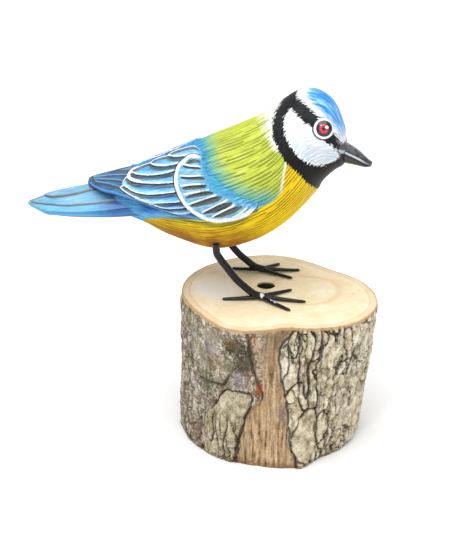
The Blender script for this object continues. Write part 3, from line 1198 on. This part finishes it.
def log_side(degrees, z):
    """Bark radius and the marks that its colour follows."""
    arc = (degrees + 180) / 360
    flat = np.stack([degrees.ravel() * DEGREE_MM, z.ravel()], 1)
    step_around = 2 * np.pi * MEAN_RADIUS / LOG_GRID[1]
    step_up = LOG_HEIGHT / (LOG_GRID[0] - 1)

    def uneven(around, tall, layers, seed):
        """Noise from -0.5 to 0.5, with a number of cells around the log that are so many mm tall."""
        return layered_noise(arc * around, z / tall, layers, seed, around) - 0.5

    def cracks(around, tall, seed, width, turn=0, rise=0):
        """1 in wandering cracks of a chosen width in mm, falling to 0 beside them."""
        u, v = arc * around + turn, z / tall + rise
        field = value_noise(u, v, seed, around) + 0.35 * value_noise(u * 2, v * 2, seed + 1, around * 2)
        slope = np.hypot(*np.gradient(field, step_up, step_around))
        return smooth(width, width * 0.35, np.abs(field - 0.675) / np.maximum(slope, 0.02))

    def from_outline(outline):
        return signed_distance(flat, rounded(np.array(outline) * [DEGREE_MM, 1])).reshape(z.shape)

    # wandering upright fissures, finer ones between them, and a few breaks across
    drift, fine_drift = 0.55 * uneven(30, 8, 3, 5), 0.5 * uneven(95, 2.6, 2, 7)
    width = 0.85 + uneven(70, 4, 2, 75)
    main = cracks(50, 19, 11, 0.75 * width, drift * 1.5 + fine_drift * 0.6, drift)
    more = 0.9 * cracks(64, 15, 13, 0.6 * width, drift * 1.5 - fine_drift * 0.6, -drift)
    fine = 0.7 * cracks(110, 8, 17, 0.42 * width, drift * 2 + fine_drift)
    fine = fine * smooth(0.36, 0.58, value_noise(arc * 26, z / 9, 71, 26))
    breaks = 0.8 * cracks(34, 4.2, 23, 0.5 * width, drift, fine_drift)
    breaks = breaks * smooth(0.46, 0.62, value_noise(arc * 34, z / 6, 73, 34))
    right = smooth(-98, -80, degrees) * smooth(150, 120, degrees) + smooth(165, 180, degrees) * 0.2
    lower_left = smooth(26, 14, z) * (degrees < -104) + smooth(-150, -162, degrees)
    rough_side = np.clip(right + 0.85 * lower_left, 0.15, 1)
    crack = np.maximum.reduce([main, more, fine, breaks]) * rough_side
    lumps = layered_noise(arc * 110 + fine_drift, z / 2.3, 2, 29, 110)
    grit = uneven(300, 0.8, 2, 37)
    height = 0.35 - 1.3 * crack + 0.95 * (lumps - 0.5) * (0.5 + 0.5 * rough_side) + 0.45 * grit
    height = height + 1.1 * uneven(24, 11, 3, 31)

    bare = from_outline(BARE_WOOD) + 2.0 * uneven(90, 3.0, 3, 41)
    bark = smooth(-0.25, 0.55, bare)
    hollow = -1.5 + 0.6 * uneven(200, 14, 3, 51) + 0.7 * uneven(60, 8, 2, 57)
    relief = hollow + (height - hollow) * bark
    flake = np.zeros(z.shape)
    seam = hump(bare - 0.3, 0.45)
    for outline, lift in FLAKES:
        distance = from_outline(outline) + 1.1 * uneven(140, 2, 2, 61)
        on = smooth(0.2, -0.35, distance) * smooth(-148, -134, degrees)
        own = lift * 0.6 + 0.7 * (lumps - 0.5) + 0.4 * grit - 0.9 * crack * (lift < 1)
        around = hump(distance - 0.4, 0.4) * smooth(-140, -128, degrees)
        relief = relief * (1 - on) + on * own - 0.8 * around
        seam = np.maximum(seam * (1 - on), around)
        crack = crack * (1 - on * (0.8 if lift > 1 else 0.0))
        flake = np.maximum(flake, on)
    ledge = side_of(flat, np.array(LEDGE) * [DEGREE_MM, 1]).reshape(z.shape)
    ledge_here = smooth(-153, -146, degrees) * smooth(-117, -121, degrees)
    under = hump(ledge - 0.5, 0.9) * ledge_here
    relief += 0.7 * smooth(1.0, -0.6, ledge) * smooth(-6.0, -1.0, ledge) * ledge_here - 0.9 * under
    lip = smooth(LOG_HEIGHT - 3.0, LOG_HEIGHT - 0.2, z)
    relief = relief * (1 - 0.85 * lip) - 0.25 * lip
    foot = smooth(1.2, 0, z)
    relief = relief * (1 - 0.5 * foot) - 0.4 * foot
    radius = log_outline(degrees)[..., 0] - log_taper(degrees)[..., 0] * (1 - z / LOG_HEIGHT)
    radius = radius - 0.9 * smooth(125, 165, np.abs(degrees)) * smooth(12, 34, z)
    marks = dict(bare=bare, crack=crack * bark, seam=np.maximum(seam, 0.8 * under), lumps=lumps,
                 rough_side=np.clip(right, 0, 1), flake=flake)
    return radius + np.clip(relief, -2.6, 1.1), {key: values.ravel() for key, values in marks.items()}


def log_top(rim):
    """Rings of points from the bark's upper rim over the sawn top and down the peg hole."""
    hole = np.array([PEG_HOLE["x"], PEG_HOLE["y"]])
    facing = np.arctan2(*(rim[:, :2] - hole).T[::-1])
    mouth = hole + PEG_HOLE["radius"] * np.stack([np.cos(facing), np.sin(facing)], 1)
    rings, inward = [], []
    for step in [0.006, 0.02, *np.linspace(0.05, 0.96, 22), 0.985]:
        flat = rim[:, :2] * (1 - step) + mouth * step
        rings.append(np.column_stack([flat, np.full(len(rim), LOG_HEIGHT - 0.12 * math.exp(-step * 90))]))
        inward.append(np.hypot(*(rim[:, :2] - flat).T))
    edge = len(rings)
    depth = PEG_HOLE["depth"]
    for sink, share in ((0.15, 1), (1.0, 1), (5.0, 1), (depth - 0.6, 1), (depth, 0.8)):
        rings.append(np.column_stack([hole + (mouth - hole) * share, np.full(len(rim), LOG_HEIGHT - sink)]))
        inward.append(np.full(len(rim), HOLE_MARK))
    return rings, np.concatenate(inward), edge, [*hole, LOG_HEIGHT - depth]


def make_log():
    up, around = LOG_GRID
    turns = -180 + 360 * np.arange(around) / around
    z, degrees = np.meshgrid(np.linspace(0, LOG_HEIGHT, up), turns, indexing="ij")
    radius, marks = log_side(degrees, z)
    angle = np.radians(degrees)
    side = np.stack([radius * np.cos(angle), radius * np.sin(angle), z], -1).reshape(-1, 3)
    rings, inward, edge, hole_floor = log_top(side[-around:])
    top = np.vstack(rings)
    points = np.vstack([side, top, [(0, 0, 0)], [hole_floor]])
    count, rows = len(side), up + len(rings)

    attributes = {}
    for key, a in marks.items():
        attributes[key] = np.concatenate([a, np.tile(a[-around:], len(rings)), [a[0], a[0]]])
    sunk = np.clip((LOG_HEIGHT - 0.3 - top[:, 2]) / 0.7, 0, 1)
    attributes["inward"] = np.concatenate([np.full(count, -1.0), inward, [-1, HOLE_MARK]])
    attributes["sunk"] = np.concatenate([np.zeros(count), sunk, [0, 1]])
    attributes["tall"] = np.concatenate([side[:, 2], np.full(len(points) - count, 60.0)])
    attributes["arc"] = np.concatenate([degrees.ravel(), np.tile(degrees[0], len(rings)), [0, 0]])
    uv_side = np.stack([(degrees.ravel() + 180) / 360, z.ravel() / LOG_HEIGHT * 0.55 + 0.01], 1)
    uv_top = [0.02, 0.58] + (points[count:, :2] + 40) / 80 * 0.4
    uv = np.vstack([uv_side, uv_top])
    piece = make_piece("log_skin", points, tube_faces(rows, around), attributes, uv, offset=0)

    # the sawn top and the hole have the second material, and sharp edges where they start
    second = np.zeros(len(piece.data.polygons), np.int32)
    second[(up - 1) * around:(rows - 1) * around] = 1
    second[-around:] = 1
    piece.data.polygons.foreach_set("material_index", second)
    sharp = piece.data.attributes.new("sharp_edge", "BOOLEAN", "EDGE")
    pairs = np.empty(len(piece.data.edges) * 2, np.int32)
    piece.data.edges.foreach_get("vertices", pairs)
    ring_of = pairs.reshape(-1, 2) // around
    keen = (ring_of[:, 0] == ring_of[:, 1]) & np.isin(ring_of[:, 0], (up - 1, up + edge))
    sharp.data.foreach_set("value", keen)
    return settle(piece, "bark", "log_wood", *[f"bark_{k}" for k in range(1, 6)])


SPOT_DEGREE_MM = 0.56
BARK_SPOTS = [                 # painted spots: angle, height, width, height of the spot, colour, strength
    (-115.5, 47.5, 4.6, 4.4, "3f3527", 0.75), (-110.5, 41.5, 4.0, 5.0, "463b2b", 0.7),
    (-118.5, 49.0, 2.2, 2.2, "8c7040", 0.4), (-112.5, 35.5, 2.8, 3.2, "8d8590", 0.4),
    (-134.0, 43.5, 4.2, 3.0, "9d9298", 0.4), (-132.5, 38.5, 3.4, 2.4, "8a6650", 0.35),
    (-134.0, 49.0, 3.6, 2.6, "b0a993", 0.6), (-100.0, 24.5, 2.4, 3.0, "cfa568", 0.4),
    (-86.5, 21.5, 2.0, 4.0, "8b7d80", 0.45), (-74.5, 17.0, 1.6, 3.4, "dcc8a4", 0.3),
    (-63.5, 15.8, 1.4, 2.8, "463c32", 0.8), (-150.0, 8.0, 5.0, 4.0, "8f6f58", 0.5),
    (-139.5, 30.5, 4.6, 4.2, "596044", 0.65), (-102.0, 31.6, 1.3, 2.6, "92481a", 0.8),
    (-107.6, 37.4, 1.6, 1.0, "7d4420", 0.75), (-105.6, 51.4, 1.6, 1.0, "8a5226", 0.7),
]


def bark_paint():
    """Grey-beige bark with dark cracks and green tinges, and brown bare wood where it has come away."""
    p = Paint("bark", roughness=0.95, specular=0.2)
    mottle = p.noise(0.28, 5, 0.65)
    grain = p.noise(1.1, 4, 0.7)
    ragged = grain - 0.5
    speck = p.noise(2.1, 3, 0.7)
    wide = p.noise(0.09, 3, 0.6)
    patchy = p.noise(0.17, 4, 0.6)
    ribs = p.noise(0.75, 4, 0.7, stretch=(1.0, 1.0, 0.22))
    side = p.mark("rough_side")
    lumps = p.mark("lumps")

    tone = grain * 0.55 + lumps * 0.45
    warm = p.ramp(tone, (0.33, "85765c"), (0.43, "c8b898"), (0.52, "e6dabc"), (0.62, "f8f0da"))
    blotch = mottle * 0.55 + grain * 0.45
    cool = p.ramp(blotch, (0.39, "40382c"), (0.455, "7c6f5c"), (0.53, "bfb39e"), (0.6, "f4eee2"))
    flake = p.ramp(tone, (0.34, "94866a"), (0.46, "c0b18c"), (0.56, "dccfac"), (0.68, "f0e8cf"))
    not_side = side.step(0.7, 0.1)
    color = p.coats(
        cool,
        (side, warm),
        (wide.step(0.46, 0.6) * not_side * 0.5, "84865c"),
        (patchy.step(0.52, 0.66) * not_side * 0.5, "96868c"),
        (patchy.step(0.46, 0.34) * not_side * 0.55, "7a6248"),
        (patchy.step(0.5, 0.66) * side * 0.45, "a39a86"),
        (ribs.step(0.47, 0.36) * 0.6, "5a4d3c"),
        (p.mark("flake") * 0.6, flake),
        ((ragged * 1.8 + p.mark("crack")).step(0.25, 0.8) * 0.9, "2e251c"),
        (speck.step(0.57, 0.67) * 0.7, "f4eedc"),
        (speck.step(0.43, 0.33) * 0.65, "42372a"),
    )

    wood_ribs = p.noise(0.8, 4, 0.6, stretch=(1.2, 1.2, 0.12))
    wood_tone = wood_ribs * 0.65 + grain * 0.35
    arc, up = p.mark("arc"), p.mark("tall")
    wood = p.coats(
        p.ramp(wood_tone, (0.36, "74583e"), (0.46, "aa8c68"), (0.55, "cfb08a"), (0.66, "ead2b0")),
        (mottle.step(0.5, 0.62) * 0.5, "b9a488"),
        (wood_ribs.step(0.43, 0.36) * up.step(30.0, 14.0) * 0.7, "4f3b28"),
        (up.step(36.0, 46.0) * patchy.step(0.42, 0.56) * 0.6, "75634c"),
        (arc.step(-97.0, -102.0) * up.step(28.0, 34.0) * grain.step(0.46, 0.58) * 0.6, "d9cfc4"),
    )
    color = p.coats(
        color,
        ((ragged * 2.0 + p.mark("bare")).step(0.3, -0.5), wood),
        ((ragged * 0.8 + p.mark("seam")).step(0.3, 0.8) * 0.85, "3a2e24"),
    )
    blur = ragged * 2.2 + (speck - 0.5) * 1.4
    for angle, height, width, tall, code, amount in BARK_SPOTS:
        near = p.away((arc, up), (angle, height), (width / SPOT_DEGREE_MM, tall))
        color = p.mix((blur + near).step(1.25, 0.6) * amount, color, code)
    color = p.coats(
        color,
        ((ragged * 5.0 + up).step(2.6, 0.6) * 0.6, "6e4c30"),
        ((ragged * 1.6 + up).step(52.6, 53.4) * 0.8, "d2ae80"),
    )
    height = grain * 0.9 + (speck * 0.5 + ribs * 0.9)
    return p.finish(color, bump=height, strength=0.85, distance=0.6)


def wood_paint():
    """Sanded end grain: cream, faint rings, a grey stain and a tan line inside the bark."""
    p = Paint("sanded_end_grain", roughness=0.7)
    place = p.parts(p.place)
    ring = p.away(place, (9.0, 4.0)) + (p.noise(0.08, 3) - 0.5) * 7.0
    waves = p.math("SINE", ring * 2.3)
    soft = p.noise(0.16, 4, 0.6)
    grain = p.noise(1.8, 4, 0.7)
    stain = p.away(place, (-22.0, 3.0), (12.0, 12.0)) + (p.noise(0.12, 3) - 0.5) * 1.2
    edge = (soft - 0.5) * 1.2 + p.mark("inward")
    color = p.coats(
        p.ramp(soft, (0.3, "efdcb2"), (0.5, "f6e6c2"), (0.7, "fbf0d8")),
        (waves.step(0.1, 1.0) * 0.09, "dcb987"),
        (abs(ring - 12.5).step(1.6, 0.2) * 0.3, "d9a878"),
        (grain.step(0.5, 0.72) * 0.2, "d8bf92"),
        (stain.step(1.25, 0.3) * 0.9, "f4f1e6"),
        (grain.step(0.44, 0.34) * 0.25, "c9a877"),
        (edge.step(3.2, 0.6) * 0.45, "e0b98a"),
        (abs(edge - 2.6).step(0.55, 0.1) * 0.35, "c9986a"),
        (edge.step(0.75, 0.2) * 0.7, "b98f63"),
        (p.mark("sunk"), "2a1d12"),
    )
    return p.finish(color, bump=grain + waves * 0.04, strength=0.25, distance=0.2)


# Build
body = make_body()
body.data.materials.append(body_paint())
body_corners = [p.vertices[:] for p in body.data.polygons]
body_tree = BVHTree.FromPolygons([v.co for v in body.data.vertices], body_corners)
wing_material, eye_material, wire_material = wing_paint(), eye_paint(), wire_paint()
for word, side in (("left", 1), ("right", -1)):
    make_wing(word, side, body_tree).data.materials.append(wing_material)
    make_eye(word, side).data.materials.append(eye_material)
    make_leg(word, side).data.materials.append(wire_material)
    make_foot(word, side, FEET[word]).data.materials.append(wire_material)
make_tail().data.materials.append(tail_paint())
make_bill().data.materials.append(bill_paint())
log = make_log()
log.data.materials.append(bark_paint())
log.data.materials.append(wood_paint())

# Studio, in metres
FLOOR_REACH = 6.0
floor_mesh = bpy.data.meshes.new("studio_floor")
corners = [(x * FLOOR_REACH, y * FLOOR_REACH, 0) for x, y in ((-1, -1), (1, -1), (1, 1), (-1, 1))]
floor_mesh.from_pydata(corners, [], [(0, 1, 2, 3)])
floor = linked("studio_floor", floor_mesh)
paper = Paint("studio_paper", roughness=0.9)
paper_tone = paper.mix(paper.noise(0.01, 2), (0.88, 0.88, 0.88, 1), (0.9, 0.9, 0.9, 1))
floor.data.materials.append(paper.finish(paper_tone))

world = bpy.data.worlds.new("studio")
world.use_nodes = True
world.node_tree.nodes["Background"].inputs[0].default_value = (1.0, 1.0, 1.0, 1.0)
world.node_tree.nodes["Background"].inputs[1].default_value = 0.72
bpy.context.scene.world = world
bpy.context.scene.view_settings.view_transform = "Standard"

sun = bpy.data.lights.new("key_light", "SUN")
sun.energy = 2.35
sun.angle = math.radians(65)
linked("key_light", sun).rotation_euler = Vector((0.16, 0.34, -1.0)).to_track_quat("-Z", "Y").to_euler()

glint = bpy.data.lights.new("glint_light", "AREA")
glint.shape = "SQUARE"
glint.size = 0.05
glint.energy = 0.7
glint_light = linked("glint_light", glint)
glint_light.location = (-0.2, -0.5, 0.6)
glint_aim = Vector((0, 0, 0.09)) - glint_light.location
glint_light.rotation_euler = glint_aim.to_track_quat("-Z", "Y").to_euler()

camera_data = bpy.data.cameras.new("camera")
camera_data.lens = 59.45
camera_data.sensor_width = 36.0
camera_data.clip_start = 0.01
camera = linked("camera", camera_data)
azimuth, pitch = math.radians(2.5), math.radians(22.8)
camera.location = (-0.0060, -0.2941, 0.1849)
level = math.cos(pitch)
forward = Vector((-math.sin(azimuth) * level, math.cos(azimuth) * level, -math.sin(pitch)))
camera.rotation_euler = forward.to_track_quat("-Z", "Y").to_euler()
bpy.context.scene.camera = camera
